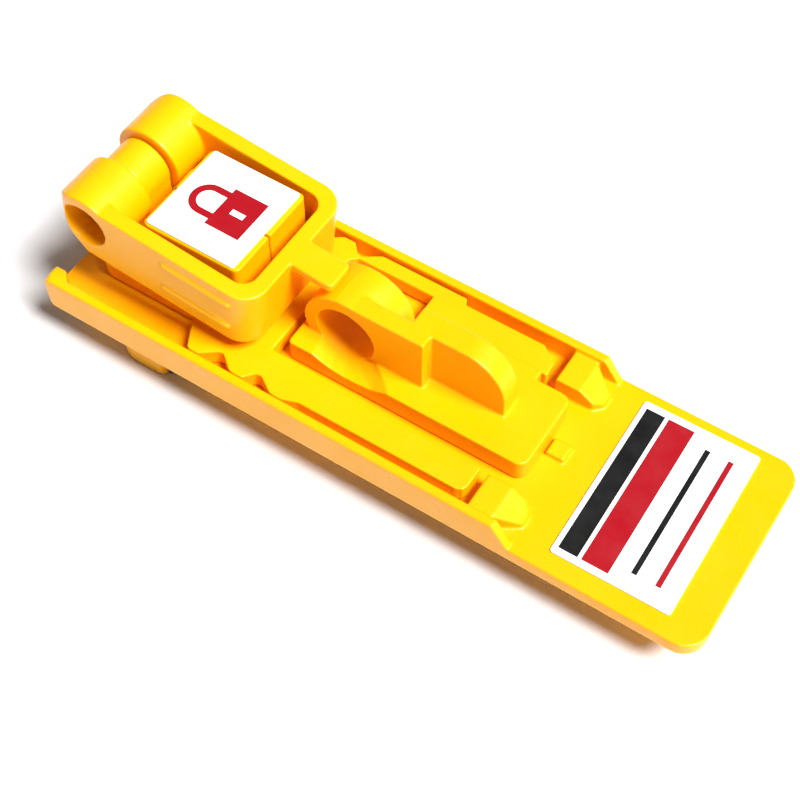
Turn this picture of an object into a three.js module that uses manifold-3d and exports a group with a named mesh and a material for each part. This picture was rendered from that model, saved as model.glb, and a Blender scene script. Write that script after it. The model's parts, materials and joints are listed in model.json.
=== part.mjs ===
// Clamp-on breaker lockout: a tray with a label paddle, a sliding toothed carriage, a padlock lug on a fin,
// and a lever frame that hinges over a square block. Millimetres. +X runs from the hinge end to the paddle,
// +Z is up. The origin is under the middle of the tray, at the level of the jaw soles.
// Pieces are drawn with X from the tray's hinge end and Z from its underside; the group shifts them.
import * as THREE from "three";
import { mergeVertices } from "three/addons/utils/BufferGeometryUtils.js";
import Module from "manifold-3d";

const wasm = await Module();
wasm.setup();

// ---- fits ----
const GAP = 0.3; // between moulded pieces that sit on each other
const SEAT = 0.05; // under labels and bolted-down pieces
const RUNNING = 0.05; // radial, round pins and screw shanks
const ABOVE = 1; // how far a cutting tool runs past the face it cuts
const WELD = 0.5; // how far a joined solid runs into the one it stands on
const SCREW_CLEARANCE = 0.2; // radial, holes a screw passes through freely
const HEAD_CLEARANCE = 0.25; // radial, recesses round screw heads

// ---- tray ----
const LENGTH = 133.8;
const HALF_WIDTH = 20.5;
const FLOOR = 3.2;
const FLANGE_TOP = 7.8;
const FLANGE_T = 1.8;
const FLANGE_END = 98.8;
const FLANGE_SLOPE = 3.3;
const LIP_X1 = 2.4;
const LIP_T = 2.0;
const PADDLE_R = 4.5;
const LUG_X0 = 89.7;
const LUG_X1 = 98.8;
const LUG_TOP_END = 94.4;
const LUG_TOP = 7.0;
const LUG_IN = 11.4;
const LATCH_STEP = { x0: 94.9, x1: 98.4, y0: -0.9, y1: 2.6, height: 1.0 };
const NECK_SLOT = { x0: 3.2, x1: 25.0, half: 4.6, radius: 1 };
const STOP_X = 12.0;
const STOP_Y = 8.4;
const STOP_R = 1.5;
const STOP_TOP = 6.2;

// ---- padlock lug body ----
const SLAB_X0 = 46.0;
const SLAB_X1 = 94.4;
const SLAB_HALF = 8.0;
const SLAB_TOP = 8.2;
const RING_X = 55.4;
const RING_Z = 11.9;
const RING_R = 8.6;
const RING_FAR = 5.9;
const HOLE_R = 5.95;
const FIN_NEAR = -3.55;
const FIN_FAR = 3.55;
const FIN_TOP = 20.35;
const FIN_NOTCH_X1 = 67.1;
const FIN_NOTCH_IN = 0.1;
const FIN_STEP_X = 71.4;
const FIN_THIN_NEAR = -1.0;
const FIN_END_X = 86.3;
const FIN_END_R = 8.7;
const SHOULDER_X0 = 62.3;
const SHOULDER_X1 = 87.2;
const SHOULDER_FAR = 10.9;
// The trough's section where it leaves the hole, and at the near edge, as (x, z) from left to right.
const TROUGH_BACK = [
  [50.65, 8.25], [51.2, 7.7], [52.1, 6.95], [53.5, 6.25],
  [55.4, 5.95], [57.3, 6.25], [60.2, 7.2], [61.6, 8.25],
];
const TROUGH_FRONT = [
  [49.6, 9.2], [51.2, 8.3], [53.0, 7.4], [55.4, 6.7],
  [58.3, 6.35], [62.0, 6.45], [65.2, 6.9], [70.4, 9.2],
];

// ---- carriage ----
const PLATE_Z0 = FLOOR + GAP;
const PLATE_TOP = 7.0;
const PLATE_X0 = 28.4;
const SLOT_X0 = 44.2;
const ARM_IN = 11.2;
const ARM_OUT = 17.0;
const ARM_END = 88.0;
const FAR_NOTCH_X1 = 62.0;
const FAR_NOTCH_OUT = 15.2;
const TOOTH_OUT = 18.2;
// Each notch between teeth: where it starts, its root, where it ends, and how far out the root is.
const NOTCHES = [
  { start: 33.4, root: 37.4, end: 40.6, depth: 15.7 },
  { start: 43.0, root: 45.8, end: 49.2, depth: 16.0 },
];
const TONGUE_X0 = 5.0;
const TONGUE_X1 = 34.0;
const TONGUE_HALF = 11.0;
const STOP_PLAY = 0.35;
const STOP_SLOT_BACK = 3.1;
const STOP_SLOT_AHEAD = 15.1;

// ---- hinge post and pin ----
const HINGE_X = 8.0;
const HINGE_Z = 22.0;
const BARREL_R = 5.3;
const BARREL_HALF = 3.4;
const POST_FOOT = 4.4;
const POST_BASE_X1 = 15.4;
const POST_BASE_HALF = 7.0;
const POST_BASE_H = 4.2;
const PIN_R = 2.2;
const PIN_INSET = 3.6;
const CAP_R = 3.7;
const CAP_HALF = 0.5;

// ---- lever frame, about the hinge axis with its rim level ----
const LEVER_TILT = THREE.MathUtils.degToRad(6.6);
const LEVER_HALF = 14.6;
const LEVER_WALL = 3.0;
const LEVER_TOP = 5.85;
const LEVER_BOTTOM = -7.8;
const LEVER_END = 35.9;
const LEVER_CORNER = 4.8;
const KNUCKLE_CORNER = 4.4;
const KNUCKLE_R = 6.8;
const KNUCKLE_IN = 3.75;
const RECESS_R = 4.6;
const RECESS_DEPTH = 5.0;
const RIB_X0 = 17.2;
const RIB_X1 = 31.4;
const RIB_HEIGHTS = [2.75, -3.6];
const RIB_OUT = 0.5;
const TAB_LENGTH = 8.4;
const TAB_HALF = 3.05;
const TAB_T = 1.9;

// ---- block and labels ----
const BLOCK_X0 = 18.0;
const BLOCK_X1 = 38.4;
const BLOCK_HALF = 10.3;
const BLOCK_TOP = 24.8;
const BLOCK_SPLIT = -0.8;
const BLOCK_R = 1.2;
const BLOCK_WALL = 2.0;
const BLOCK_HOLLOW_X1 = 30.4;
const LABEL_T = 0.25;
const PADDLE_LABEL = { x: 115.7, y: 0.8, length: 22.2, width: 35.1, radius: 0.6, turn: 0.6 };
const BLOCK_LABEL = { x: 28.1, y: 0, length: 18.8, width: 19.8, radius: 0.5, turn: -0.6 };

// ---- jaws ----
const JAW_DROP = 8.0;
const JAW_TOP = -0.4;
const MOVING_JAW_X0 = 13.0;
const MOVING_JAW_X1 = 24.0;
const MOVING_JAW_HALF = 18.2;
const FIXED_JAW_X0 = 31.6;
const FIXED_JAW_X1 = 66.0;
const FIXED_JAW_HALF = 13.0;
const JAW_POCKET = { front: 5, back: 3, inner: 3.6, rim: 2.4, top: -2.2 };
const PAD_T = 1.0;
const PAD_GAP = 0.1;
const PAD_INSET = 0.5;
const NECK_X0 = 18.4;
const NECK_X1 = 23.2;
const NECK_HALF = 4.0;
const NECK_PLAY = 0.4;
const NECK_TRAVEL = 2.5;
const KEEPER_X0 = 17.6;
const KEEPER_X1 = 25.0;
const KEEPER_HALF = 6.6;
const KEEPER_Z0 = PLATE_TOP + 0.15;
const KEEPER_T = 1.5;
const KEEPER_ROOM = 0.8;
const KEEPER_ROOM_TOP = 11.6;

// ---- screws ----
const SCREW_R = 1.4;
const SCREW_HEAD_R = 2.5;
const SCREW_HEAD_T = 1.5;
const SOCKET_R = 1.2;
const BODY_SCREW_X = [49.0, 60.0];
const BODY_SCREW_TIP = 6.0;
const BODY_SHANK_R = 1.25;
const HEAD_RECESS = 3.0;
const POST_SCREWS = [[9.0, 3.2], [9.0, -3.2]];
const POST_SCREW_TIP = 10.4;
const BLOCK_SCREWS = [[34.0, 5.4], [34.0, -5.4]];
const BLOCK_SCREW_TIP = 15.0;
const KEEPER_SCREW_X = 20.8;
const KEEPER_SCREW_TIP = -2.6;

// ---- looks ----
const YELLOW_NYLON = { color: 0xffe000, roughness: 0.35 };
const LABEL_FILM = { color: 0xffffff, roughness: 0.4 };
const PAD_RUBBER = { color: 0x262626, roughness: 0.9 };
const PLATED_STEEL = { color: 0xb9bcc0, roughness: 0.35, metalness: 1 };

// ---- solids ----
function solid(geometry) {
  const bare = geometry.clone();
  bare.deleteAttribute("normal");
  bare.deleteAttribute("uv");
  const merged = mergeVertices(bare, 1e-4);
  return new wasm.Manifold(new wasm.Mesh({
    numProp: 3,
    vertProperties: new Float32Array(merged.attributes.position.array),
    triVerts: new Uint32Array(merged.index.array),
  }));
}

function join(...solids) {
  return solids.reduce((sum, next) => sum.add(next));
}

function cut(base, ...tools) {
  return tools.reduce((rest, tool) => rest.subtract(tool), base);
}

function geometryOf(body) {
  const mesh = body.simplify(0.002).getMesh();
  const geometry = new THREE.BufferGeometry();
  geometry.setAttribute("position", new THREE.BufferAttribute(new Float32Array(mesh.vertProperties), 3));
  geometry.setIndex(new THREE.BufferAttribute(new Uint32Array(mesh.triVerts), 1));
  const flat = geometry.toNonIndexed();
  flat.computeVertexNormals();
  return flat;
}

function box(x0, x1, y0, y1, z0, z1) {
  const geometry = new THREE.BoxGeometry(x1 - x0, y1 - y0, z1 - z0);
  geometry.translate((x0 + x1) / 2, (y0 + y1) / 2, (z0 + z1) / 2);
  return solid(geometry);
}

function cylinderY(x, z, radius, y0, y1, sides = 40) {
  const geometry = new THREE.CylinderGeometry(radius, radius, y1 - y0, sides);
  geometry.translate(x, (y0 + y1) / 2, z);
  return solid(geometry);
}

function cylinderZ(x, y, radius, z0, z1, sides = 24) {
  const geometry = new THREE.CylinderGeometry(radius, radius, z1 - z0, sides);
  geometry.rotateX(Math.PI / 2);
  geometry.translate(x, y, (z0 + z1) / 2);
  return solid(geometry);
}

// A plan outline raised from z0 to z1.
function plan(shape, z0, z1, curveSegments = 6) {
  const geometry = new THREE.ExtrudeGeometry(shape, { depth: z1 - z0, bevelEnabled: false, curveSegments });
  geometry.translate(0, 0, z0);
  return solid(geometry);
}

// A side outline, drawn as (x, z), carried across from y0 to y1.
function side(shape, y0, y1, curveSegments = 10) {
  const geometry = new THREE.ExtrudeGeometry(shape, { depth: y1 - y0, bevelEnabled: false, curveSegments });
  geometry.rotateX(Math.PI / 2);
  geometry.translate(0, y1, 0);
  return solid(geometry);
}

function polygon(points) {
  return new THREE.Shape(points.map(([a, b]) => new THREE.Vector2(a, b)));
}

// A rectangle whose corners are rounded: radii in the order low-low, high-low, high-high, low-high.
function roundedRect(a0, a1, b0, b1, radii) {
  const [r0, r1, r2, r3] = Array.isArray(radii) ? radii : [radii, radii, radii, radii];
  const corners = [
    [a0 + r0, b0 + r0, r0, Math.PI],
    [a1 - r1, b0 + r1, r1, -Math.PI / 2],
    [a1 - r2, b1 - r2, r2, 0],
    [a0 + r3, b1 - r3, r3, Math.PI / 2],
  ];
  const shape = new THREE.Shape();
  shape.moveTo(a0, b0 + r0);
  for (const [x, y, radius, start] of corners) {
    if (radius > 0) {
      shape.absarc(x, y, radius, start, start + Math.PI / 2, false);
    } else {
      shape.lineTo(x, y);
    }
  }
  return shape;
}

// The stretch of Y from inner to outer on one side of the middle, lowest first.
function span(sign, inner, outer) {
  return sign > 0 ? [inner, outer] : [-outer, -inner];
}

// A body drawn on the far side, or its mirror image on the near side.
function onSide(sign, body) {
  return sign > 0 ? body : body.mirror([0, 1, 0]);
}

const BOTH_SIDES = [1, -1];

// ---- tray ----
function flange(sign) {
  const inner = HALF_WIDTH - FLANGE_T;
  const wall = side(polygon([
    [0.6, 0], [FLANGE_END, 0], [FLANGE_END, FLOOR], [FLANGE_END - FLANGE_SLOPE, FLANGE_TOP],
    [0.8, FLANGE_TOP], [0, FLANGE_TOP - 0.8], [0, 1.2],
  ]), inner, HALF_WIDTH);
  const lip = plan(polygon([
    [0.2, inner - LIP_T], [LIP_X1, inner - LIP_T], [LIP_X1 + 2.2, inner + 0.4], [0.2, inner + 0.4],
  ]), FLOOR - WELD, FLANGE_TOP);
  return onSide(sign, join(wall, lip));
}

function lug(sign) {
  const outer = HALF_WIDTH - FLANGE_T - GAP;
  const footprint = plan(polygon([
    [LUG_X0, LUG_IN], [LUG_X1 - 1.6, LUG_IN], [LUG_X1, LUG_IN + 1.6], [LUG_X1, 15.4],
    [LUG_TOP_END, outer], [LUG_X0, outer],
  ]), FLOOR - WELD, LUG_TOP);
  const slope = side(polygon([
    [LUG_X0 - ABOVE, FLOOR - ABOVE], [LUG_X1 + ABOVE, FLOOR - ABOVE], [LUG_X1 + ABOVE, FLOOR + 0.2],
    [LUG_TOP_END, LUG_TOP], [LUG_X0 - ABOVE, LUG_TOP],
  ]), LUG_IN - ABOVE, outer + ABOVE);
  return onSide(sign, footprint.intersect(slope));
}

function tray() {
  const corners = [1, PADDLE_R, PADDLE_R, 1];
  const floor = plan(roundedRect(0, LENGTH, -HALF_WIDTH, HALF_WIDTH, corners), 0, FLOOR);
  const step = LATCH_STEP;
  const latchStep = box(step.x0, step.x1, step.y0, step.y1, FLOOR - WELD, FLOOR + step.height);
  const { x0, x1, half, radius } = NECK_SLOT;
  const neckSlot = plan(roundedRect(x0, x1, -half, half, radius), -ABOVE, FLOOR + ABOVE);
  const pinHoles = BOTH_SIDES.map((s) => (
    cylinderZ(STOP_X, s * STOP_Y, STOP_R + RUNNING, -ABOVE, FLOOR + ABOVE)
  ));
  const screwHoles = BODY_SCREW_X.map((x) => (
    cylinderZ(x, 0, SCREW_R + SCREW_CLEARANCE, -ABOVE, FLOOR + ABOVE)
  ));
  const body = join(floor, flange(1), flange(-1), lug(1), lug(-1), latchStep);
  return cut(body, neckSlot, ...pinHoles, ...screwHoles);
}

function stopPin(sign) {
  return cylinderZ(STOP_X, sign * STOP_Y, STOP_R, GAP, STOP_TOP);
}

// ---- padlock lug body ----
function lockBody() {
  const z0 = FLOOR + GAP;
  const nearSlab = plan(roundedRect(SLAB_X0, SLAB_X1, -SLAB_HALF, 4.0, [0.8, 2.0, 0, 0]), z0, SLAB_TOP);
  const farShape = roundedRect(SHOULDER_X0, SLAB_X1, 3.0, SLAB_HALF + 0.8, [0, 0, 2.0, 0]);
  const farSlab = plan(farShape, z0, SLAB_TOP);
  const shoulder = box(SHOULDER_X0, SHOULDER_X1, SLAB_HALF, SHOULDER_FAR, z0, SLAB_TOP);
  const ring = cylinderY(RING_X, RING_Z, RING_R, FIN_NEAR, RING_FAR, 56);
  const thickFin = box(RING_X - 2, FIN_STEP_X, FIN_NEAR, FIN_FAR, z0, FIN_TOP);
  const finNotch = box(RING_X, FIN_NOTCH_X1, FIN_NOTCH_IN, FIN_FAR + ABOVE, SLAB_TOP, FIN_TOP + ABOVE);
  const fin = cut(join(thickFin, thinFin()), finNotch);
  const hole = cylinderY(RING_X, RING_Z, HOLE_R, FIN_NEAR - 0.4, RING_FAR + ABOVE, 48);
  const screwHoles = BODY_SCREW_X.map((x) => (
    cylinderZ(x, 0, BODY_SHANK_R + RUNNING, 0, BODY_SCREW_TIP + GAP)
  ));
  return cut(join(nearSlab, farSlab, shoulder, ring, fin), hole, trough(), ...screwHoles);
}

// The fin beyond its step: thinner, with a quarter-round end.
function thinFin() {
  const start = RING_X + 8;
  const outline = new THREE.Shape();
  outline.moveTo(start, FLOOR + ABOVE);
  outline.lineTo(FIN_END_X, FLOOR + ABOVE);
  outline.lineTo(FIN_END_X, FIN_TOP - FIN_END_R);
  outline.absarc(FIN_END_X - FIN_END_R, FIN_TOP - FIN_END_R, FIN_END_R, 0, Math.PI / 2, false);
  outline.lineTo(start, FIN_TOP);
  return side(outline, FIN_THIN_NEAR, FIN_FAR, 14);
}

// The scoop in front of the hole: it leaves the hole's lower edge and widens to the near edge of the slab.
function trough() {
  const count = TROUGH_BACK.length;
  const section = (points, y) => points.flatMap(([x, z]) => [x, y, z]);
  const back = section(TROUGH_BACK, FIN_NEAR + GAP);
  const front = section(TROUGH_FRONT, -SLAB_HALF - ABOVE);
  const faces = [];
  for (let here = 0; here < count; here += 1) {
    const next = (here + 1) % count;
    faces.push(here, next, next + count, here, next + count, here + count);
  }
  for (let k = 1; k < count - 1; k += 1) {
    faces.push(0, k + 1, k, count, count + k, count + k + 1);
  }
  const geometry = new THREE.BufferGeometry();
  geometry.setAttribute("position", new THREE.Float32BufferAttribute([...back, ...front], 3));
  geometry.setIndex(faces);
  return solid(geometry);
}

// ---- carriage ----
function toothedEdge() {
  const edge = [[PLATE_X0, 13.0], [PLATE_X0 + 2.6, TOOTH_OUT - 0.3], [PLATE_X0 + 3.4, TOOTH_OUT]];
  for (const { start, root, end, depth } of NOTCHES) {
    edge.push([start, TOOTH_OUT], [root - 1.0, depth + 0.2], [root, depth]);
    edge.push([end - 0.5, TOOTH_OUT - 0.3], [end + 0.3, TOOTH_OUT]);
  }
  return edge;
}

function carriageOutline() {
  const near = [
    ...toothedEdge(), [51.4, TOOTH_OUT], [54.4, ARM_OUT + 0.1], [ARM_END - 1.6, ARM_OUT],
    [ARM_END - 0.4, ARM_OUT - 0.5], [ARM_END, ARM_OUT - 1.6], [ARM_END, ARM_IN], [55.6, ARM_IN],
    [53.6, ARM_IN - 0.9], [SLOT_X0, ARM_IN - 0.9],
  ];
  const far = [
    ...toothedEdge(), [67.4, TOOTH_OUT], [68.0, ARM_OUT - 0.2], [ARM_END - 3.6, ARM_OUT - 0.2],
    [ARM_END - 0.2, ARM_OUT - 2.8], [ARM_END, ARM_IN], [FAR_NOTCH_X1, ARM_IN],
    [FAR_NOTCH_X1, FAR_NOTCH_OUT], [SLOT_X0 + 1.4, FAR_NOTCH_OUT], [SLOT_X0, FAR_NOTCH_OUT - 1.4],
  ];
  return polygon([...near.map(([x, y]) => [x, -y]), ...far.reverse()]);
}

// A clearance hole for a carriage screw, which comes up from below, with room for its head.
function screwWay([x, y]) {
  return join(
    cylinderZ(x, y, SCREW_R + SCREW_CLEARANCE, 0, PLATE_TOP + ABOVE),
    cylinderZ(x, y, SCREW_HEAD_R + HEAD_CLEARANCE, 0, PLATE_Z0 + SCREW_HEAD_T + 0.2),
  );
}

function stopSlot(sign) {
  const half = STOP_R + STOP_PLAY;
  const [y0, y1] = span(sign, STOP_Y - half, STOP_Y + half);
  const slot = roundedRect(STOP_X - STOP_SLOT_BACK, STOP_X + STOP_SLOT_AHEAD, y0, y1, STOP_R);
  return plan(slot, 0, PLATE_TOP + ABOVE);
}

function carriagePlate() {
  const outline = plan(carriageOutline(), PLATE_Z0, PLATE_TOP);
  const tongueShape = roundedRect(TONGUE_X0, TONGUE_X1, -TONGUE_HALF, TONGUE_HALF, [3, 0, 0, 3]);
  const tongue = plan(tongueShape, PLATE_Z0, PLATE_TOP);
  const neckHalf = NECK_HALF + NECK_PLAY;
  const neckShape = roundedRect(NECK_X0 - NECK_TRAVEL, NECK_X1 + NECK_PLAY, -neckHalf, neckHalf, 1);
  const neckRoom = plan(neckShape, 0, PLATE_TOP + ABOVE);
  const screwWays = [...POST_SCREWS, ...BLOCK_SCREWS].map(screwWay);
  return cut(join(outline, tongue), neckRoom, ...BOTH_SIDES.map(stopSlot), ...screwWays);
}

// A socket screw whose head starts at z = seat and whose point is at z = tip, above or below the head.
function screw(x, y, seat, tip, shankR = SCREW_R) {
  const up = Math.sign(tip - seat);
  const along = (from, to) => [Math.min(from, to), Math.max(from, to)];
  const headEnd = seat - up * SCREW_HEAD_T;
  const shank = cylinderZ(x, y, shankR, ...along(seat - up * 0.1, tip), 20);
  const head = cylinderZ(x, y, SCREW_HEAD_R, ...along(seat, headEnd), 20);
  const socket = cylinderZ(x, y, SOCKET_R, ...along(headEnd + up * 0.8, headEnd - up * ABOVE), 6);
  return cut(join(shank, head), socket);
}

function hingePost() {
  const z0 = PLATE_TOP + SEAT;
  const barrel = cylinderY(HINGE_X, HINGE_Z, BARREL_R, -BARREL_HALF, BARREL_HALF, 44);
  const post = side(polygon([
    [HINGE_X - POST_FOOT, z0], [HINGE_X + POST_FOOT, z0], [HINGE_X + BARREL_R, HINGE_Z],
    [HINGE_X - BARREL_R, HINGE_Z],
  ]), -BARREL_HALF, BARREL_HALF);
  const baseShape = roundedRect(TONGUE_X0, POST_BASE_X1, -POST_BASE_HALF, POST_BASE_HALF, BLOCK_R);
  const base = plan(baseShape, z0, z0 + POST_BASE_H);
  const bore = cylinderY(HINGE_X, HINGE_Z, PIN_R + RUNNING, -LEVER_HALF, LEVER_HALF, 32);
  const holes = POST_SCREWS.map(([x, y]) => cylinderZ(x, y, SCREW_R + RUNNING, 0, POST_SCREW_TIP + GAP));
  return cut(join(barrel, post, base), bore, ...holes);
}

// One moulded half of the block: hollow from below, with a solid end for its screw.
function blockHalf(sign) {
  const z0 = PLATE_TOP + SEAT;
  const split = BLOCK_SPLIT * sign + GAP / 2;
  const outerShape = roundedRect(BLOCK_X0, BLOCK_X1, split, BLOCK_HALF, [0, 0, BLOCK_R, BLOCK_R]);
  const outer = plan(outerShape, z0, BLOCK_TOP);
  const hollow = box(
    BLOCK_X0 + BLOCK_WALL, BLOCK_HOLLOW_X1, split + BLOCK_WALL, BLOCK_HALF - BLOCK_WALL,
    z0 - ABOVE, BLOCK_TOP - BLOCK_WALL,
  );
  const keeperRoom = box(
    BLOCK_X0 - ABOVE, BLOCK_HOLLOW_X1, split - ABOVE, KEEPER_HALF + KEEPER_ROOM,
    z0 - ABOVE, KEEPER_ROOM_TOP,
  );
  const [x, y] = BLOCK_SCREWS[0];
  const screwHole = cylinderZ(x, y, SCREW_R + RUNNING, 0, BLOCK_SCREW_TIP + GAP);
  return onSide(sign, cut(outer, hollow, keeperRoom, screwHole));
}

// A label film drawn about its own centre.
function labelFilm({ length, width, radius }) {
  return plan(roundedRect(-length / 2, length / 2, -width / 2, width / 2, radius), 0, LABEL_T, 4);
}

function hingePin() {
  return cylinderY(HINGE_X, HINGE_Z, PIN_R, -LEVER_HALF + PIN_INSET, LEVER_HALF - PIN_INSET, 32);
}

function pinCap(sign) {
  const y = sign * (LEVER_HALF - RECESS_DEPTH + CAP_HALF + 0.15);
  const disc = cylinderY(HINGE_X, HINGE_Z, CAP_R, y - CAP_HALF, y + CAP_HALF, 28);
  const bore = cylinderY(HINGE_X, HINGE_Z, PIN_R + RUNNING, y - ABOVE, y + ABOVE, 32);
  return cut(disc, bore);
}

// ---- lever frame ----
function leverSideProfile() {
  const shape = new THREE.Shape();
  shape.moveTo(0, LEVER_BOTTOM);
  shape.lineTo(LEVER_END, LEVER_BOTTOM);
  shape.lineTo(LEVER_END, LEVER_TOP);
  shape.absarc(0, 0, KNUCKLE_R, Math.asin(LEVER_TOP / KNUCKLE_R), Math.PI * 1.06, false);
  return shape;
}

function leverFrame() {
  const inner = LEVER_HALF - LEVER_WALL;
  const below = LEVER_BOTTOM - ABOVE;
  const above = KNUCKLE_R + ABOVE;
  const corners = [KNUCKLE_CORNER, LEVER_CORNER, LEVER_CORNER, KNUCKLE_CORNER];
  const outlineShape = roundedRect(-KNUCKLE_R, LEVER_END, -LEVER_HALF, LEVER_HALF, corners);
  const outline = plan(outlineShape, below, above, 8);
  const walls = side(leverSideProfile(), -LEVER_HALF, LEVER_HALF, 18);
  const pocketShape = roundedRect(2, LEVER_END - LEVER_WALL, -inner, inner, [0, 3, 3, 0]);
  const pocket = plan(pocketShape, below, above, 8);
  const openEnd = box(-KNUCKLE_R - ABOVE, 3, -inner, inner, below, above);
  const knuckles = BOTH_SIDES.map((s) => (
    cylinderY(0, 0, KNUCKLE_R, ...span(s, KNUCKLE_IN, inner + WELD), 48)
  ));
  const frame = join(cut(walls, pocket, openEnd), ...knuckles).intersect(outline);
  const tabShape = roundedRect(LEVER_END - 1, LEVER_END + TAB_LENGTH, -TAB_HALF, TAB_HALF, [0, 1, 1, 0]);
  const tab = plan(tabShape, LEVER_TOP - TAB_T, LEVER_TOP);
  const recesses = BOTH_SIDES.map((s) => (
    cylinderY(0, -0.2, RECESS_R, ...span(s, LEVER_HALF - RECESS_DEPTH, LEVER_HALF + ABOVE), 40)
  ));
  const bore = cylinderY(0, 0, PIN_R + RUNNING, -LEVER_HALF - ABOVE, LEVER_HALF + ABOVE, 32);
  return cut(join(frame, tab, ...gripRibs()), ...recesses, bore);
}

function gripRibs() {
  return RIB_HEIGHTS.flatMap((z) => BOTH_SIDES.map((s) => (
    box(RIB_X0, RIB_X1, ...span(s, LEVER_HALF - 0.4, LEVER_HALF + RIB_OUT), z - 0.5, z + 0.5)
  )));
}

// ---- jaws ----
function movingJaw() {
  const half = MOVING_JAW_HALF;
  const jawShape = roundedRect(MOVING_JAW_X0, MOVING_JAW_X1, -half, half, [3.5, 1.5, 1.5, 3.5]);
  const jaw = plan(jawShape, -JAW_DROP, JAW_TOP);
  const neck = box(NECK_X0, NECK_X1, -NECK_HALF, NECK_HALF, JAW_TOP - WELD, KEEPER_Z0 - SEAT);
  const holeEnd = KEEPER_SCREW_TIP - GAP;
  const screwHole = cylinderZ(KEEPER_SCREW_X, 0, SCREW_R + RUNNING, holeEnd, KEEPER_Z0 + ABOVE, 20);
  return cut(join(jaw, neck), screwHole);
}

function fixedJaw() {
  const half = FIXED_JAW_HALF;
  const { front, back, inner, rim, top } = JAW_POCKET;
  const jawShape = roundedRect(FIXED_JAW_X0, FIXED_JAW_X1, -half, half, [1, 2.5, 2.5, 1]);
  const jaw = plan(jawShape, -JAW_DROP, -SEAT);
  const pockets = BOTH_SIDES.map((s) => {
    const [y0, y1] = span(s, inner, half - rim);
    return plan(roundedRect(FIXED_JAW_X0 + front, FIXED_JAW_X1 - back, y0, y1, 1), -JAW_DROP - ABOVE, top);
  });
  const screwWays = BODY_SCREW_X.map((x) => join(
    cylinderZ(x, 0, SCREW_R + SCREW_CLEARANCE, -JAW_DROP - ABOVE, ABOVE),
    cylinderZ(x, 0, SCREW_HEAD_R + HEAD_CLEARANCE, -JAW_DROP - ABOVE, -JAW_DROP + HEAD_RECESS),
  ));
  return cut(jaw, ...pockets, ...screwWays);
}

function jawPad(x0, half) {
  return box(x0, x0 + PAD_T, -half, half, -JAW_DROP + PAD_INSET, JAW_TOP - PAD_INSET);
}

function keeper() {
  const plateShape = roundedRect(KEEPER_X0, KEEPER_X1, -KEEPER_HALF, KEEPER_HALF, 1);
  const plate = plan(plateShape, KEEPER_Z0, KEEPER_Z0 + KEEPER_T);
  const holeR = SCREW_R + SCREW_CLEARANCE;
  return cut(plate, cylinderZ(KEEPER_SCREW_X, 0, holeR, 0, KEEPER_Z0 + KEEPER_T + ABOVE, 20));
}

// ---- assembly ----
const group = new THREE.Group();
group.position.set(-LENGTH / 2, 0, JAW_DROP);

function place(name, body, look) {
  const mesh = new THREE.Mesh(geometryOf(body), new THREE.MeshStandardMaterial(look));
  mesh.name = name;
  group.add(mesh);
  return mesh;
}

function placeLabel(name, label, z) {
  const mesh = place(name, labelFilm(label), LABEL_FILM);
  mesh.position.set(label.x, label.y, z + SEAT);
  mesh.rotation.z = THREE.MathUtils.degToRad(label.turn);
}

place("tray", tray(), YELLOW_NYLON);
placeLabel("paddle_label", PADDLE_LABEL, FLOOR);
place("fixed_jaw", fixedJaw(), YELLOW_NYLON);
place("fixed_jaw_pad", jawPad(FIXED_JAW_X0 - PAD_GAP - PAD_T, FIXED_JAW_HALF - 0.5), PAD_RUBBER);
place("lock_body", lockBody(), YELLOW_NYLON);
place("stop_pin_near", stopPin(-1), PLATED_STEEL);
place("stop_pin_far", stopPin(1), PLATED_STEEL);
BODY_SCREW_X.forEach((x, i) => {
  const seat = -JAW_DROP + HEAD_RECESS - SEAT;
  place(`body_screw_${i + 1}`, screw(x, 0, seat, BODY_SCREW_TIP, BODY_SHANK_R), PLATED_STEEL);
});

place("carriage_plate", carriagePlate(), YELLOW_NYLON);
place("hinge_post", hingePost(), YELLOW_NYLON);
place("block_near", blockHalf(-1), YELLOW_NYLON);
place("block_far", blockHalf(1), YELLOW_NYLON);
placeLabel("block_label", BLOCK_LABEL, BLOCK_TOP);
place("hinge_pin", hingePin(), PLATED_STEEL);
place("pin_cap_near", pinCap(-1), YELLOW_NYLON);
place("pin_cap_far", pinCap(1), YELLOW_NYLON);
[...POST_SCREWS, ...BLOCK_SCREWS].forEach(([x, y], i) => {
  const tip = i < POST_SCREWS.length ? POST_SCREW_TIP : BLOCK_SCREW_TIP;
  place(`carriage_screw_${i + 1}`, screw(x, y, PLATE_Z0 + SCREW_HEAD_T + 0.1, tip), PLATED_STEEL);
});

const lever = place("lever_frame", leverFrame(), YELLOW_NYLON);
lever.position.set(HINGE_X, 0, HINGE_Z);
lever.rotation.y = LEVER_TILT;

place("moving_jaw", movingJaw(), YELLOW_NYLON);
place("moving_jaw_pad", jawPad(MOVING_JAW_X1 + PAD_GAP, MOVING_JAW_HALF - 1), PAD_RUBBER);
place("jaw_keeper", keeper(), PLATED_STEEL);
const keeperSeat = KEEPER_Z0 + KEEPER_T + SEAT;
place("keeper_screw", screw(KEEPER_SCREW_X, 0, keeperSeat, KEEPER_SCREW_TIP), PLATED_STEEL);

export default group;
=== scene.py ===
# Clamp-on breaker lockout in moulded yellow nylon: the looks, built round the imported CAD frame.
# Blender works in metres. Local modelling sizes are written in millimetres and multiplied by MM.
import json
import math

import bmesh
import bpy
from mathutils import Matrix, Vector


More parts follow.
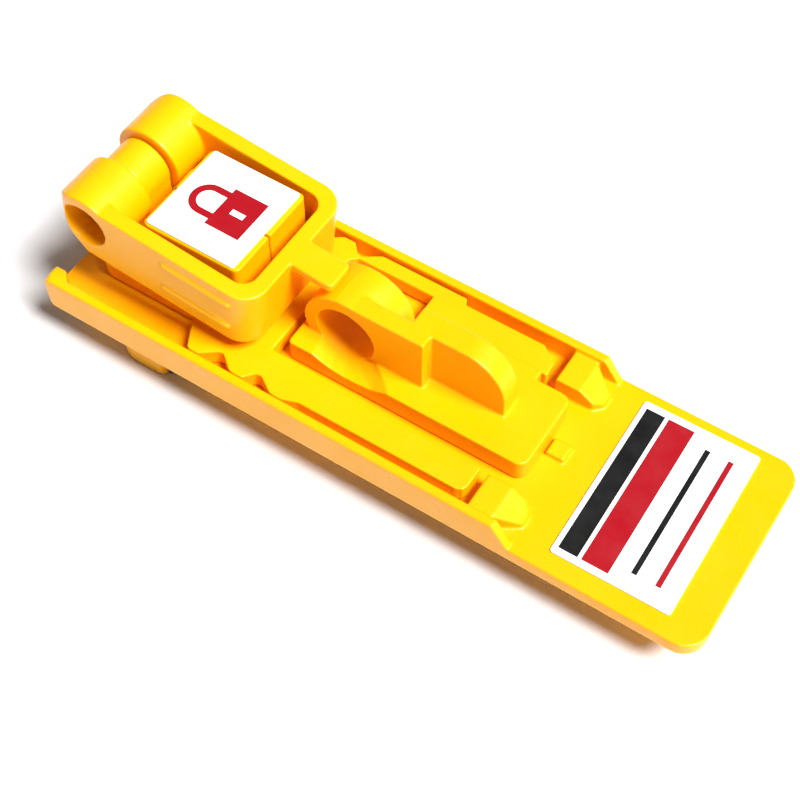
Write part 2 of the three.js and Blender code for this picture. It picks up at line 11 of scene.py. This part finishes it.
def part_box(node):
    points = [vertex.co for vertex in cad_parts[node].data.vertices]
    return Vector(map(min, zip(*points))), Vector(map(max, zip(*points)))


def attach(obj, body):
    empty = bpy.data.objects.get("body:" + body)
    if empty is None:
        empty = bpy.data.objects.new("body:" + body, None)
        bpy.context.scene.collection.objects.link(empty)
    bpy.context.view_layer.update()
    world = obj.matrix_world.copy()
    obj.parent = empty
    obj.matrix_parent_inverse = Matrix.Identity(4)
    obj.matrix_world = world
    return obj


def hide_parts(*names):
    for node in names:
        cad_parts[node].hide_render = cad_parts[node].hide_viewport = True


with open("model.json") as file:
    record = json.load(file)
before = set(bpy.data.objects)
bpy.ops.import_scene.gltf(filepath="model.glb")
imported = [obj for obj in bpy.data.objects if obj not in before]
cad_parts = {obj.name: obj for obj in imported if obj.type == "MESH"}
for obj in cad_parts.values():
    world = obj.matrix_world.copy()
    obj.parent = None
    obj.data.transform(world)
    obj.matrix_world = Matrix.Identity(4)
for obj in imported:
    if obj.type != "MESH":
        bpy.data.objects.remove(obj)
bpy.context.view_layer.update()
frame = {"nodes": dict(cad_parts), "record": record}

MM = 0.001
NODES = frame["nodes"]
BODIES = frame["record"]["behaviour"]["bodies"]
BODY_OF = {node: body for body, nodes in BODIES.items() for node in nodes}


# ---- camera ----
# Fitted to the photograph: millimetres for the lens, metres for the spot, degrees for the angles.
LENS = 67.3
SENSOR = 36
CAMERA_SPOT = (0.07972, -0.12743, 0.23169)
CAMERA_DOWN = 56.55
CAMERA_TURN = 32.78
NEAREST = 0.01


def add_camera():
    data = bpy.data.cameras.new("camera")
    data.lens = LENS
    data.sensor_width = SENSOR
    data.clip_start = NEAREST
    camera = bpy.data.objects.new("camera", data)
    camera.location = CAMERA_SPOT
    camera.rotation_euler = (math.radians(90 - CAMERA_DOWN), 0, math.radians(CAMERA_TURN))
    bpy.context.scene.collection.objects.link(camera)
    bpy.context.scene.camera = camera


add_camera()


# ---- materials ----
class Graph:
    """A material's node tree, with short names for the nodes used here."""

    def __init__(self, name):
        self.material = bpy.data.materials.new(name)
        self.material.use_nodes = True
        self.tree = self.material.node_tree
        self.shader = self.tree.nodes["Principled BSDF"]
        self.place = self.tree.nodes.new("ShaderNodeTexCoord").outputs["Object"]

    def put(self, value, socket):
        if isinstance(value, bpy.types.NodeSocket):
            self.tree.links.new(value, socket)
        else:
            socket.default_value = value

    def math(self, operation, a, b=0.0):
        node = self.tree.nodes.new("ShaderNodeMath")
        node.operation = operation
        self.put(a, node.inputs[0])
        self.put(b, node.inputs[1])
        return node.outputs[0]

    def noise(self, scale, detail=3.0, roughness=0.55):
        node = self.tree.nodes.new("ShaderNodeTexNoise")
        self.put(self.place, node.inputs["Vector"])
        node.inputs["Scale"].default_value = scale
        node.inputs["Detail"].default_value = detail
        node.inputs["Roughness"].default_value = roughness
        return node.outputs["Fac"]

    def spread(self, value, low, high):
        """A noise value, which mostly stays between 0.3 and 0.7, spread out to run from low to high."""
        node = self.tree.nodes.new("ShaderNodeMapRange")
        self.put(value, node.inputs["Value"])
        node.inputs["From Min"].default_value = 0.3
        node.inputs["From Max"].default_value = 0.7
        node.inputs["To Min"].default_value = low
        node.inputs["To Max"].default_value = high
        return node.outputs["Result"]

    def mix(self, amount, a, b):
        node = self.tree.nodes.new("ShaderNodeMix")
        node.data_type = "RGBA"
        self.put(amount, node.inputs["Factor"])
        self.put(a, node.inputs["A"])
        self.put(b, node.inputs["B"])
        return node.outputs["Result"]

    def bump(self, height, distance, strength=1.0):
        node = self.tree.nodes.new("ShaderNodeBump")
        self.put(height, node.inputs["Height"])
        node.inputs["Distance"].default_value = distance
        node.inputs["Strength"].default_value = strength
        self.put(node.outputs["Normal"], self.shader.inputs["Normal"])

    def axes(self, origin=(0, 0, 0), turn=0.0):
        """The surface's own place in millimetres about origin, turned about Z, as x, y and z."""
        node = self.tree.nodes.new("ShaderNodeMapping")
        node.vector_type = "TEXTURE"
        self.put(self.place, node.inputs["Vector"])
        node.inputs["Location"].default_value = origin
        node.inputs["Rotation"].default_value = (0, 0, turn)
        node.inputs["Scale"].default_value = (MM, MM, MM)
        split = self.tree.nodes.new("ShaderNodeSeparateXYZ")
        self.put(node.outputs["Vector"], split.inputs["Vector"])
        return split.outputs["X"], split.outputs["Y"], split.outputs["Z"]

    def inside(self, value, low, high):
        """1 where value lies between low and high, else 0."""
        middle = (low + high) / 2
        distance = self.math("ABSOLUTE", self.math("SUBTRACT", value, middle))
        return self.math("LESS_THAN", distance, (high - low) / 2)

    def both(self, a, b):
        return self.math("MULTIPLY", a, b)

    def either(self, a, b):
        return self.math("MAXIMUM", a, b)

    def set(self, **values):
        for name, value in values.items():
            self.put(value, self.shader.inputs[name.replace("_", " ")])


SPECK = (0.45, 0.22, 0.01, 1)
SPECK_ABOVE = 0.74
SPECK_STRENGTH = 0.25


def nylon(name, base, deep):
    """Moulded nylon: slight clouding of the colour, fine spark-eroded texture, uneven gloss."""
    g = Graph(name)
    clouds = g.spread(g.noise(45.0, 4.0), 0.0, 1.0)
    specks = g.math("GREATER_THAN", g.noise(900.0, 2.0), SPECK_ABOVE)
    colour = g.mix(clouds, base, deep)
    g.set(Base_Color=g.mix(g.math("MULTIPLY", specks, SPECK_STRENGTH), colour, SPECK))
    g.set(Roughness=g.spread(g.noise(160.0, 4.0), 0.26, 0.42))
    g.set(Subsurface_Weight=0.06, Subsurface_Scale=0.001, Subsurface_Radius=(1.0, 0.45, 0.05))
    g.set(Specular_IOR_Level=0.28)
    texture = g.math("ADD", g.noise(2600.0, 2.0), g.math("MULTIPLY", g.noise(120.0, 3.0), 2.0))
    g.bump(texture, 0.00006, 0.35)
    return g.material


def label_film(g, ink):
    """Printed film: white stock with the given ink colour, a faint emboss and satin gloss."""
    g.set(Base_Color=ink)
    g.set(Roughness=g.spread(g.noise(240.0, 3.0), 0.3, 0.46))
    g.set(Specular_IOR_Level=0.5)
    g.bump(g.noise(700.0, 3.0), 0.00003, 0.3)
    return g.material


BLACK_INK = (0.004, 0.004, 0.004, 1)
RED_INK = (0.32, 0.002, 0.008, 1)
FILM_LIGHT = (0.93, 0.93, 0.92, 1)
FILM_SHADE = (0.86, 0.86, 0.85, 1)
LABEL_TURN = math.radians(0.6)


def film_white(g):
    return g.mix(g.spread(g.noise(60.0, 3.0), 0.0, 1.0), FILM_LIGHT, FILM_SHADE)


# The bands and rules on the paddle label, from its middle: x from, x to, and half their width in y.
BLACK_BAND = (-10.2, -6.6, 16.2)
RED_BAND = (-5.9, -0.9, 16.2)
BLACK_RULE = (2.2, 3.2, 14.0)
RED_RULE = (6.6, 7.6, 14.0)


def paddle_print():
    """A blank write-on tag: a black band, a red stripe beside it and two ruled lines."""
    low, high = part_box("paddle_label")
    g = Graph("paddle_label_print")
    x, y, _ = g.axes((low + high) / 2, LABEL_TURN)

    def bar(start, stop, half):
        return g.both(g.inside(x, start, stop), g.inside(y, -half, half))

    black = g.either(bar(*BLACK_BAND), bar(*BLACK_RULE))
    red = g.either(bar(*RED_BAND), bar(*RED_RULE))
    colour = g.mix(black, film_white(g), BLACK_INK)
    return label_film(g, g.mix(red, colour, RED_INK))


# The pictogram on the block label: the shackle's radii and the places of its parts along x.
SHACKLE_IN = 2.1
SHACKLE_OUT = 3.5
ARCH_X = -3.4
BODY_X = -0.8
BODY_END_X = 6.4
BODY_HALF = 4.6
LEG_END_X = -0.7
KEYHOLE_X = (1.6, 4.4)
KEYHOLE_HALF = 0.6


def block_print():
    """A plain padlock pictogram: a shackle ring with straight legs over a square body."""
    low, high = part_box("block_label")
    g = Graph("block_label_print")
    x, y, _ = g.axes((low + high) / 2, -LABEL_TURN)
    body = g.both(g.inside(x, BODY_X, BODY_END_X), g.inside(y, -BODY_HALF, BODY_HALF))
    arch_x = g.math("ADD", x, -ARCH_X)
    radius = g.math("SQRT", g.math("ADD", g.math("POWER", arch_x, 2.0), g.math("POWER", y, 2.0)))
    arch = g.both(g.inside(radius, SHACKLE_IN, SHACKLE_OUT), g.math("LESS_THAN", arch_x, 0.0))
    beside = g.inside(g.math("ABSOLUTE", y), SHACKLE_IN, SHACKLE_OUT)
    legs = g.both(beside, g.inside(x, ARCH_X, LEG_END_X))
    keyhole = g.both(g.inside(x, *KEYHOLE_X), g.inside(y, -KEYHOLE_HALF, KEYHOLE_HALF))
    mark = g.math("SUBTRACT", g.either(body, g.either(arch, legs)), keyhole)
    return label_film(g, g.mix(mark, film_white(g), RED_INK))


def rubber():
    """Matt black rubber with a dusty bloom and a fine grain."""
    g = Graph("pad_rubber")
    bloom = g.spread(g.noise(300.0, 4.0), 0.0, 1.0)
    g.set(Base_Color=g.mix(bloom, (0.018, 0.018, 0.02, 1), (0.04, 0.039, 0.037, 1)))
    g.set(Roughness=g.spread(g.noise(700.0, 3.0), 0.7, 0.92))
    g.bump(g.noise(1800.0, 3.0), 0.00008, 0.5)
    return g.material


def plated_steel():
    """Zinc-plated steel: patchy grey, uneven gloss and a slight grain."""
    g = Graph("plated_steel")
    patches = g.spread(g.noise(350.0, 4.0), 0.0, 1.0)
    g.set(Metallic=1.0)
    g.set(Base_Color=g.mix(patches, (0.62, 0.63, 0.66, 1), (0.5, 0.5, 0.5, 1)))
    g.set(Roughness=g.spread(g.noise(900.0, 3.0), 0.22, 0.42))
    g.bump(g.noise(2200.0, 2.0), 0.00003, 0.4)
    return g.material


YELLOW = nylon("yellow_nylon", (0.96, 0.43, 0.0, 1), (0.94, 0.4, 0.0, 1))
STEEL = plated_steel()
RUBBER = rubber()


# ---- pieces ----
SHADING_WEIGHT = 60


def adopt(piece, node, material):
    """Puts a new piece in the scene in place of a CAD node."""
    piece.data.materials.clear()
    piece.data.materials.append(material)
    if piece.name not in bpy.context.scene.collection.objects:
        bpy.context.scene.collection.objects.link(piece)
    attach(piece, BODY_OF[node])
    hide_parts(node)
    return piece


def applied(piece):
    """The piece's mesh with its modifiers applied, and the modifiers gone."""
    bpy.context.view_layer.update()
    graph = bpy.context.evaluated_depsgraph_get()
    final = bpy.data.meshes.new_from_object(piece.evaluated_get(graph))
    piece.modifiers.clear()
    piece.data = final
    return final


def moulded(node, voxel, rounds, faces, tilt):
    """A CAD solid as a moulding: the same shape, with every edge softened. It is worked on level."""
    level = Matrix.Rotation(-tilt, 4, "Y") @ Matrix.Scale(1 / MM, 4)
    mesh = NODES[node].data.copy()
    mesh.transform(level)
    piece = bpy.data.objects.new("moulded_" + node, mesh)
    bpy.context.scene.collection.objects.link(piece)
    remesh = piece.modifiers.new("remesh", "REMESH")
    remesh.mode = "VOXEL"
    remesh.voxel_size = voxel
    smooth = piece.modifiers.new("smooth", "SMOOTH")
    smooth.factor = 0.5
    smooth.iterations = rounds
    final = applied(piece)
    if len(final.polygons) * 2 > faces:
        thin = piece.modifiers.new("thin", "DECIMATE")
        thin.ratio = faces / (len(final.polygons) * 2)
        final = applied(piece)
    final.transform(level.inverted())
    for face in final.polygons:
        face.use_smooth = True
    shading = piece.modifiers.new("shading", "WEIGHTED_NORMAL")
    shading.weight = SHADING_WEIGHT
    return adopt(piece, node, YELLOW)


LEVER_TILT = math.radians(6.6)

# Each moulding: voxel size in millimetres, rounds of smoothing, most triangles, and tilt.
MOULDINGS = {
    "tray": (0.26, 3, 130000, 0.0),
    "fixed_jaw": (0.26, 6, 50000, 0.0),
    "lock_body": (0.22, 3, 90000, 0.0),
    "carriage_plate": (0.22, 3, 80000, 0.0),
    "hinge_post": (0.22, 6, 30000, 0.0),
    "block_near": (0.22, 6, 30000, 0.0),
    "block_far": (0.22, 6, 30000, 0.0),
    "lever_frame": (0.22, 10, 90000, LEVER_TILT),
    "moving_jaw": (0.26, 8, 40000, 0.0),
}

for name, recipe in MOULDINGS.items():
    moulded(name, *recipe)

SEGMENTS = 48
HEX_STEP = math.pi / 3


def ring_radius(radius, kind, angle):
    """How far out a ring's point lies: a round ring, or a hexagon with its corners at radius."""
    if kind == "round":
        return radius
    from_flat = (angle % HEX_STEP) - HEX_STEP / 2
    return radius * math.cos(HEX_STEP / 2) / math.cos(from_flat)


def turned(name, profile, origin, direction):
    """A closed turned piece. Profile lists (radius, height, kind) in millimetres along direction."""
    place = Matrix.Translation(origin) @ Vector(direction).to_track_quat("Z", "Y").to_matrix().to_4x4()
    mesh = bpy.data.meshes.new(name)
    work = bmesh.new()
    angles = [2 * math.pi * i / SEGMENTS for i in range(SEGMENTS)]
    rings = []
    for radius, height, kind in profile:
        ring = []
        for angle in angles:
            out = ring_radius(radius, kind, angle)
            spot = (out * math.cos(angle) * MM, out * math.sin(angle) * MM, height * MM)
            ring.append(work.verts.new(spot))
        rings.append(ring)
    for low, high in zip(rings, rings[1:]):
        for i in range(SEGMENTS):
            j = (i + 1) % SEGMENTS
            work.faces.new((low[i], low[j], high[j], high[i]))
    work.faces.new(list(reversed(rings[0])))
    work.faces.new(rings[-1])
    bmesh.ops.recalc_face_normals(work, faces=work.faces)
    work.transform(place)
    work.to_mesh(mesh)
    work.free()
    for face in mesh.polygons:
        face.use_smooth = True
    piece = bpy.data.objects.new(name, mesh)
    shading = piece.modifiers.new("shading", "WEIGHTED_NORMAL")
    shading.weight = SHADING_WEIGHT
    return piece


HEAD_TALL = 1.5
SOCKET = 1.2
SOCKET_DEPTH = 0.8
POINT_TALL = 0.9


def screw(node, head_up, shank):
    """A button-edged socket screw in the space of its CAD node, with a pointed end."""
    low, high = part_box(node)
    middle = (low + high) / 2
    head = (high.x - low.x) / 2 / MM
    length = (high.z - low.z) / MM
    under = length - HEAD_TALL
    origin = (middle.x, middle.y, low.z if head_up else high.z)
    profile = [
        (shank * 0.5, 0.0, "round"), (shank * 0.72, 0.15, "round"), (shank, POINT_TALL, "round"),
        (shank, under - 0.1, "round"), (head - 0.15, under, "round"), (head, under + 0.12, "round"),
        (head, length - 0.4, "round"), (head - 0.1, length - 0.16, "round"),
        (head - 0.35, length, "round"), (SOCKET + 0.08, length, "hex"),
        (SOCKET, length - 0.1, "hex"), (SOCKET, length - SOCKET_DEPTH, "hex"),
    ]
    adopt(turned("turned_" + node, profile, origin, (0, 0, 1 if head_up else -1)), node, STEEL)


SHANK = 1.4
THIN_SHANK = 1.25

for number in range(1, 5):
    screw(f"carriage_screw_{number}", False, SHANK)
for number in range(1, 3):
    screw(f"body_screw_{number}", False, THIN_SHANK)
screw("keeper_screw", True, SHANK)


PIN_END = 0.42
PIN_DOME = 0.16
PIN_CHAMFER = 0.2


def pin(node, axis):
    """A straight pin with chamfered, slightly domed ends, in the space of its CAD node."""
    low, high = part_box(node)
    middle = (low + high) / 2
    radius = (high.x - low.x) / 2 / MM
    length = (high[axis] - low[axis]) / MM
    origin = middle.copy()
    origin[axis] = low[axis]
    direction = [0, 0, 0]
    direction[axis] = 1
    end = [
        (radius * 0.4, 0.0), (radius * 0.75, 0.06), (radius - PIN_CHAMFER, PIN_DOME), (radius, PIN_END),
    ]
    profile = [(out, up, "round") for out, up in end]
    profile += [(out, length - up, "round") for out, up in reversed(end)]
    adopt(turned("turned_" + node, profile, origin, direction), node, STEEL)


pin("stop_pin_near", 2)
pin("stop_pin_far", 2)
pin("hinge_pin", 1)


COLLAR = 2.32


def pin_cap(node):
    """A push-on cap: a rounded washer with a raised collar round the pin."""
    low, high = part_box(node)
    out = 1 if low.y > 0 else -1
    face = low.y if out > 0 else high.y
    radius = (high.x - low.x) / 2 / MM
    thick = (high.y - low.y) / MM
    centre = (low + high) / 2
    profile = [
        (COLLAR, 0.0), (radius - 0.25, 0.0), (radius, 0.2), (radius, thick * 0.45),
        (radius - 0.3, thick * 0.62), (radius - 0.8, thick * 0.66), (COLLAR + 0.55, thick * 0.7),
        (COLLAR + 0.4, thick), (COLLAR + 0.1, thick), (COLLAR, thick - 0.1),
    ]
    upright = Matrix.Rotation(-out * math.pi / 2, 4, "X")
    place = Matrix.Translation((centre.x, face, centre.z)) @ upright
    mesh = bpy.data.meshes.new("turned_" + node)
    work = bmesh.new()
    for i in range(SEGMENTS):
        angle = 2 * math.pi * i / SEGMENTS
        for out_mm, up_mm in profile:
            spot = (out_mm * math.cos(angle) * MM, out_mm * math.sin(angle) * MM, up_mm * MM)
            work.verts.new(spot)
    work.verts.ensure_lookup_table()
    count = len(profile)
    for i in range(SEGMENTS):
        here, after = i * count, ((i + 1) % SEGMENTS) * count
        for k in range(count):
            n = (k + 1) % count
            work.faces.new([work.verts[v] for v in (here + k, after + k, after + n, here + n)])
    bmesh.ops.recalc_face_normals(work, faces=work.faces)
    work.transform(place)
    work.to_mesh(mesh)
    work.free()
    for polygon in mesh.polygons:
        polygon.use_smooth = True
    piece = bpy.data.objects.new("turned_" + node, mesh)
    piece.modifiers.new("shading", "WEIGHTED_NORMAL")
    adopt(piece, node, YELLOW)


pin_cap("pin_cap_near")
pin_cap("pin_cap_far")


WIDEST_RIB = 1.6
RIB_STEPS = 8
RIB_DEPTH = 0.45
PAD_EDGE = 0.12


def ribbed_pad(node, grip):
    """A rubber jaw pad with upright rounded ribs on the side that grips: 1 for +X, -1 for -X."""
    low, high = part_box(node)
    back = low.x if grip > 0 else high.x
    thick = (high.x - low.x) / MM
    width = (high.y - low.y) / MM
    tall = (high.z - low.z) / MM
    ribs = math.ceil(width / WIDEST_RIB)
    pitch = width / ribs
    outline = []
    for i in range(ribs * RIB_STEPS + 1):
        wave = abs(math.sin(math.pi * i / RIB_STEPS))
        outline.append((thick - RIB_DEPTH + RIB_DEPTH * wave, i * pitch / RIB_STEPS))
    work = bmesh.new()
    levels = [(PAD_EDGE, 0.0), (0.0, PAD_EDGE), (0.0, tall - PAD_EDGE), (PAD_EDGE, tall)]
    rings = []
    for inset, z in levels:
        ring = [(0.0, outline[0][1]), *outline, (0.0, outline[-1][1])]
        rings.append([
            work.verts.new((back + grip * max(0.0, out - inset) * MM, low.y + y * MM, low.z + z * MM))
            for out, y in ring
        ])
    for below, above in zip(rings, rings[1:]):
        for i in range(len(below)):
            j = (i + 1) % len(below)
            work.faces.new((below[i], below[j], above[j], above[i]))
    work.faces.new(rings[0])
    work.faces.new(rings[-1])
    bmesh.ops.recalc_face_normals(work, faces=work.faces)
    mesh = bpy.data.meshes.new("ribbed_" + node)
    work.to_mesh(mesh)
    work.free()
    adopt(bpy.data.objects.new("ribbed_" + node, mesh), node, RUBBER)


ribbed_pad("fixed_jaw_pad", -1)
ribbed_pad("moving_jaw_pad", 1)


LABEL_EDGE = 0.06
KEEPER_EDGE = 0.2
SHARP = math.radians(40)


def soften(node, width, material):
    """A kept CAD node: rounded edges and its own material."""
    piece = NODES[node]
    bevel = piece.modifiers.new("bevel", "BEVEL")
    bevel.width = width * MM
    bevel.segments = 2
    bevel.limit_method = "ANGLE"
    bevel.angle_limit = SHARP
    for place in piece.material_slots:
        place.material = material


soften("paddle_label", LABEL_EDGE, paddle_print())
soften("block_label", LABEL_EDGE, block_print())
soften("jaw_keeper", KEEPER_EDGE, STEEL)


# ---- floor and light ----
FLOOR_HALF = 3.0
FLOOR_DROP = 0.0002
FLOOR_LIGHT = (0.8, 0.8, 0.81, 1)
FLOOR_SHADE = (0.76, 0.76, 0.77, 1)
KEY_FROM = (0.34, 0.0, 0.50)
KEY_STRENGTH = 7.0
KEY_SPREAD = 24
WORLD_STRENGTH = 0.15


def add_floor():
    mesh = bpy.data.meshes.new("floor")
    corners = [(-FLOOR_HALF, -FLOOR_HALF, 0), (FLOOR_HALF, -FLOOR_HALF, 0)]
    corners += [(FLOOR_HALF, FLOOR_HALF, 0), (-FLOOR_HALF, FLOOR_HALF, 0)]
    mesh.from_pydata(corners, [], [(0, 1, 2, 3)])
    floor = bpy.data.objects.new("floor", mesh)
    floor.location.z = -FLOOR_DROP
    bpy.context.scene.collection.objects.link(floor)
    g = Graph("floor_paper")
    grain = g.spread(g.noise(90.0, 4.0), 0.0, 1.0)
    g.set(Base_Color=g.mix(grain, FLOOR_LIGHT, FLOOR_SHADE), Roughness=0.9)
    mesh.materials.append(g.material)


def add_sun(name, towards, strength, spread):
    """A distant soft light that shines from the direction given."""
    data = bpy.data.lights.new(name, "SUN")
    data.energy = strength
    data.angle = math.radians(spread)
    light = bpy.data.objects.new(name, data)
    light.location = towards
    light.rotation_euler = (-Vector(towards)).to_track_quat("-Z", "Y").to_euler()
    bpy.context.scene.collection.objects.link(light)


def add_world(strength):
    world = bpy.data.worlds.new("studio")
    world.use_nodes = True
    background = world.node_tree.nodes["Background"]
    background.inputs["Color"].default_value = (1.0, 1.0, 1.0, 1)
    background.inputs["Strength"].default_value = strength
    bpy.context.scene.world = world


add_floor()
add_sun("key", KEY_FROM, KEY_STRENGTH, KEY_SPREAD)
add_world(WORLD_STRENGTH)
bpy.context.scene.view_settings.view_transform = "Standard"
